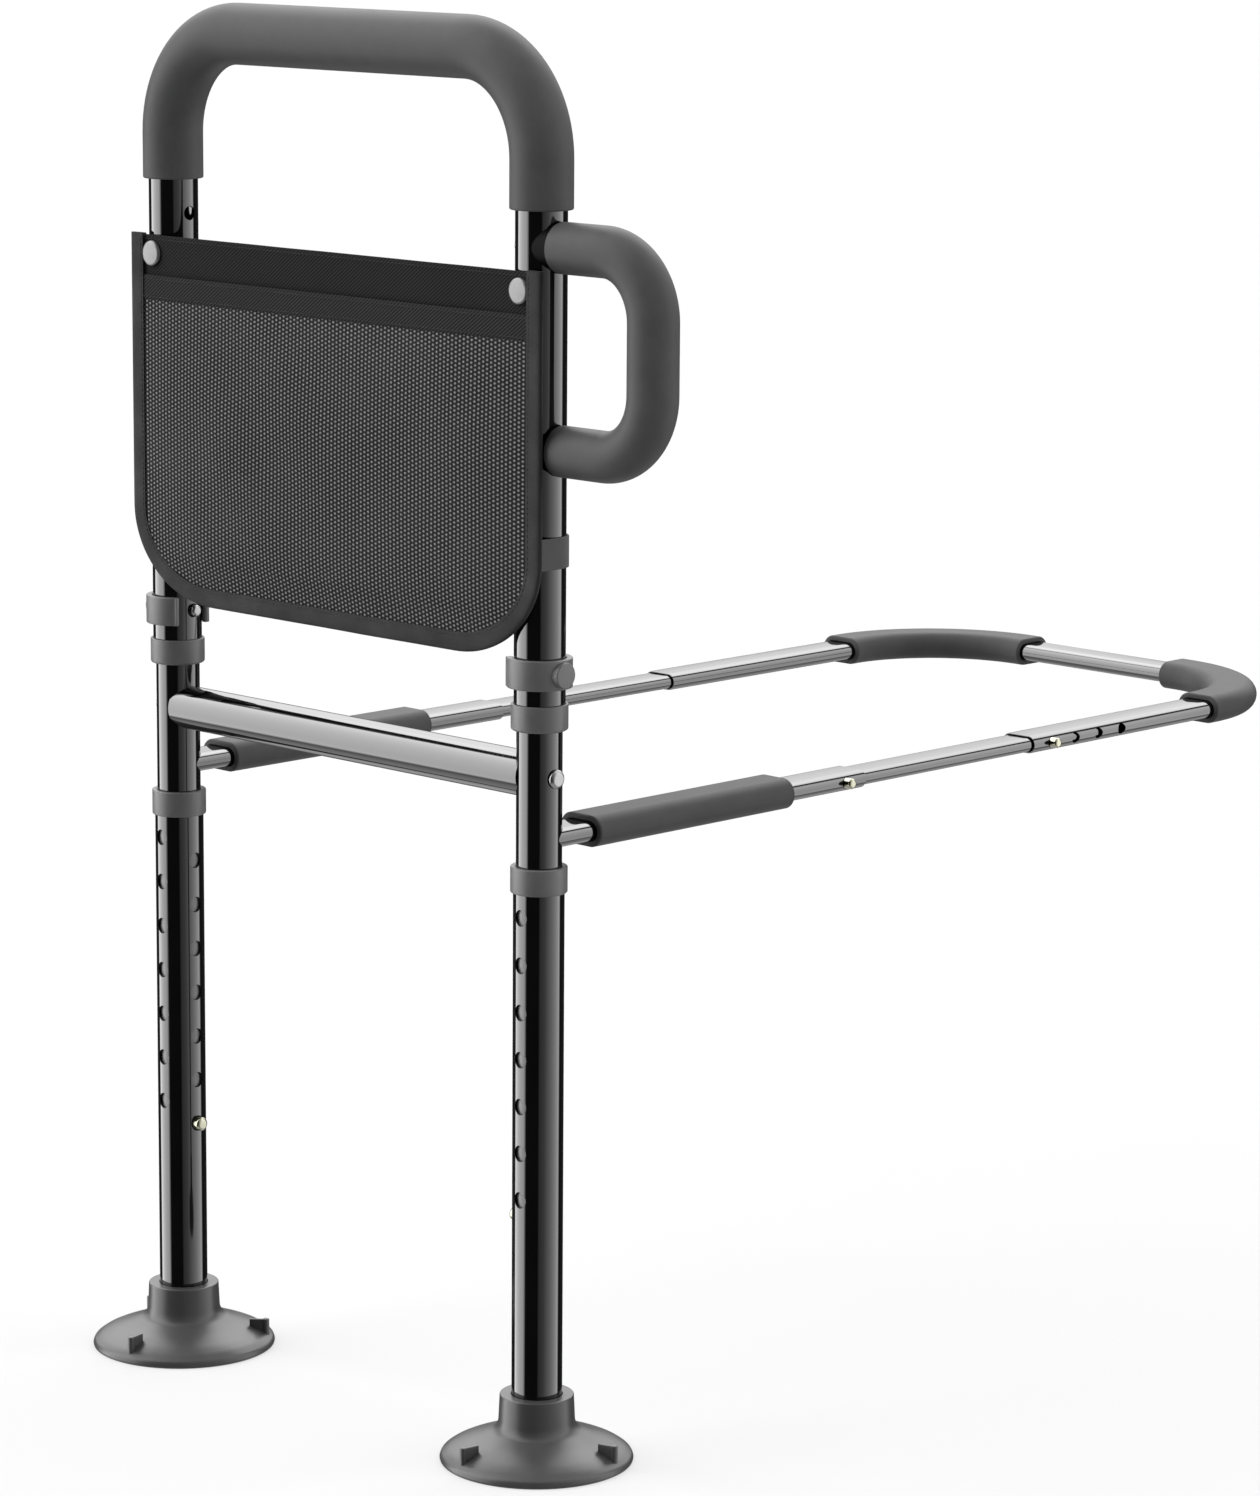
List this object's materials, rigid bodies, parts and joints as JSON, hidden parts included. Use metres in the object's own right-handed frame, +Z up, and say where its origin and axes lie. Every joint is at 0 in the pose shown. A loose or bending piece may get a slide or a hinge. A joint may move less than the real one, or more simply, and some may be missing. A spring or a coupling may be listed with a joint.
{
  "type": "bed assist rail",
  "caption": "Telescopic bedside support rail with foam hand rail, side handle, storage pouch, suction feet and a sliding loop that lies under the mattress.",
  "frame": {"origin": "midway between the two uprights' axes, on the plane of the loop sleeves' undersides, where they rest on the bed's base", "axes": "+X from the left upright to the right one (the side handle is on the right), +Y into the bed, +Z up"},
  "size_m": [0.5116, 0.8383, 0.901],
  "materials": {
    "black_tube": "gloss black paint or powder coat",
    "foam": "matte closed-cell foam",
    "grey_rubber": "matte",
    "grey_plastic": "matte",
    "black_plastic": "satin black",
    "bright_steel": "polished",
    "zinc": "yellowish zinc plate",
    "spring_steel": "plain spring steel",
    "pouch_lining": "dark twill",
    "pouch_mesh": "fine open mesh over dark cloth",
    "pouch_binding": "dark twill tape",
    "webbing": "grey woven webbing"
  },
  "bodies": {
    "frame": {"upper_frame_tube": "black_tube", "top_grip_foam": "foam", "upper_collar_left": "grey_plastic", "upper_collar_right": "grey_plastic", "side_handle_tube": "black_tube", "side_handle_foam": "foam", "side_handle_saddle_upper": "black_plastic", "side_handle_saddle_lower": "black_plastic", "side_handle_plug_upper": "spring_steel", "side_handle_plug_lower": "spring_steel", "side_handle_bolt_upper": "bright_steel", "side_handle_bolt_lower": "bright_steel", "pouch_back_panel": "pouch_lining", "pouch_front_panel": "pouch_mesh", "pouch_binding": "pouch_binding", "pouch_snap_left": "bright_steel", "pouch_snap_right": "bright_steel", "pouch_strap_left": "webbing", "pouch_strap_right": "webbing", "post_left": "black_tube", "post_right": "black_tube", "crossbar": "black_tube", "crossbar_bolt_left": "bright_steel", "crossbar_bolt_right": "bright_steel", "crossbar_plug_left": "grey_plastic", "crossbar_plug_right": "grey_plastic", "arm_root_left": "black_tube", "arm_root_right": "black_tube", "arm_sleeve_left": "grey_rubber", "arm_sleeve_right": "grey_rubber", "leg_button_spring_left": "spring_steel", "leg_button_spring_right": "spring_steel"},
    "loop_middle": {"arm_middle_left": "black_tube", "arm_middle_right": "black_tube", "loop_spring_root_left": "spring_steel", "loop_spring_root_right": "spring_steel", "loop_spring_end_left": "spring_steel", "loop_spring_end_right": "spring_steel"},
    "loop_end": {"loop_end_tube": "black_tube", "corner_sleeve_left": "grey_rubber", "corner_sleeve_right": "grey_rubber"},
    "leg_left": {"leg_tube_left": "black_tube", "leg_collar_left": "grey_plastic", "foot_left": "grey_rubber"},
    "leg_right": {"leg_tube_right": "black_tube", "leg_collar_right": "grey_plastic", "foot_right": "grey_rubber"},
    "leg_button_left": {"leg_button_left": "zinc"},
    "leg_button_right": {"leg_button_right": "zinc"},
    "loop_button_root_left": {"loop_button_root_left": "zinc"},
    "loop_button_root_right": {"loop_button_root_right": "zinc"},
    "loop_button_end_left": {"loop_button_end_left": "zinc"},
    "loop_button_end_right": {"loop_button_end_right": "zinc"},
    "clip_left": {"clip_left": "grey_plastic", "clip_pin_left": "bright_steel"},
    "clip_right": {"clip_right": "grey_plastic", "clip_pin_right": "bright_steel"}
  },
  "joints": [
    {"name": "leg_height_left", "type": "slide", "parent": "frame", "child": "leg_left", "axis": [0, 0, -1], "range_m": [0, 0.18], "deforming": ["leg_button_left", "leg_button_spring_left"]},
    {"name": "leg_height_right", "type": "slide", "parent": "frame", "child": "leg_right", "axis": [0, 0, -1], "range_m": [0, 0.18], "deforming": ["leg_button_right", "leg_button_spring_right"]},
    {"name": "leg_button_press_left", "type": "slide", "parent": "frame", "child": "leg_button_left", "axis": [-1, 0, 0], "range_m": [0, 0.0071], "stiffness_N_per_m": 900, "deforming": ["leg_button_spring_left"]},
    {"name": "leg_button_press_right", "type": "slide", "parent": "frame", "child": "leg_button_right", "axis": [1, 0, 0], "range_m": [0, 0.0071], "stiffness_N_per_m": 900, "deforming": ["leg_button_spring_right"]},
    {"name": "loop_pull_out", "type": "slide", "parent": "frame", "child": "loop_middle", "axis": [0, 1, 0], "range_m": [0, 0.07], "deforming": ["loop_button_root_left", "loop_spring_root_left", "loop_button_root_right", "loop_spring_root_right"]},
    {"name": "loop_length", "type": "slide", "parent": "loop_middle", "child": "loop_end", "axis": [0, 1, 0], "range_m": [-0.075, 0], "deforming": ["loop_button_end_left", "loop_spring_end_left", "loop_button_end_right", "loop_spring_end_right"]},
    {"name": "loop_button_press_root_left", "type": "slide", "parent": "loop_middle", "child": "loop_button_root_left", "axis": [1, 0, 0], "range_m": [0, 0.0068], "stiffness_N_per_m": 900, "deforming": ["loop_spring_root_left"]},
    {"name": "loop_button_press_root_right", "type": "slide", "parent": "loop_middle", "child": "loop_button_root_right", "axis": [-1, 0, 0], "range_m": [0, 0.0068], "stiffness_N_per_m": 900, "deforming": ["loop_spring_root_right"]},
    {"name": "loop_button_press_end_left", "type": "slide", "parent": "loop_middle", "child": "loop_button_end_left", "axis": [1, 0, 0], "range_m": [0, 0.0068], "stiffness_N_per_m": 900, "deforming": ["loop_spring_end_left"]},
    {"name": "loop_button_press_end_right", "type": "slide", "parent": "loop_middle", "child": "loop_button_end_right", "axis": [-1, 0, 0], "range_m": [0, 0.0068], "stiffness_N_per_m": 900, "deforming": ["loop_spring_end_right"]},
    {"name": "clip_pull_left", "type": "slide", "parent": "frame", "child": "clip_left", "axis": [-1, 0, 0], "range_m": [0, 0.045], "deforming": ["clip_left"]},
    {"name": "clip_pull_right", "type": "slide", "parent": "frame", "child": "clip_right", "axis": [1, 0, 0], "range_m": [0, 0.045], "deforming": ["clip_right"]}
  ]
}
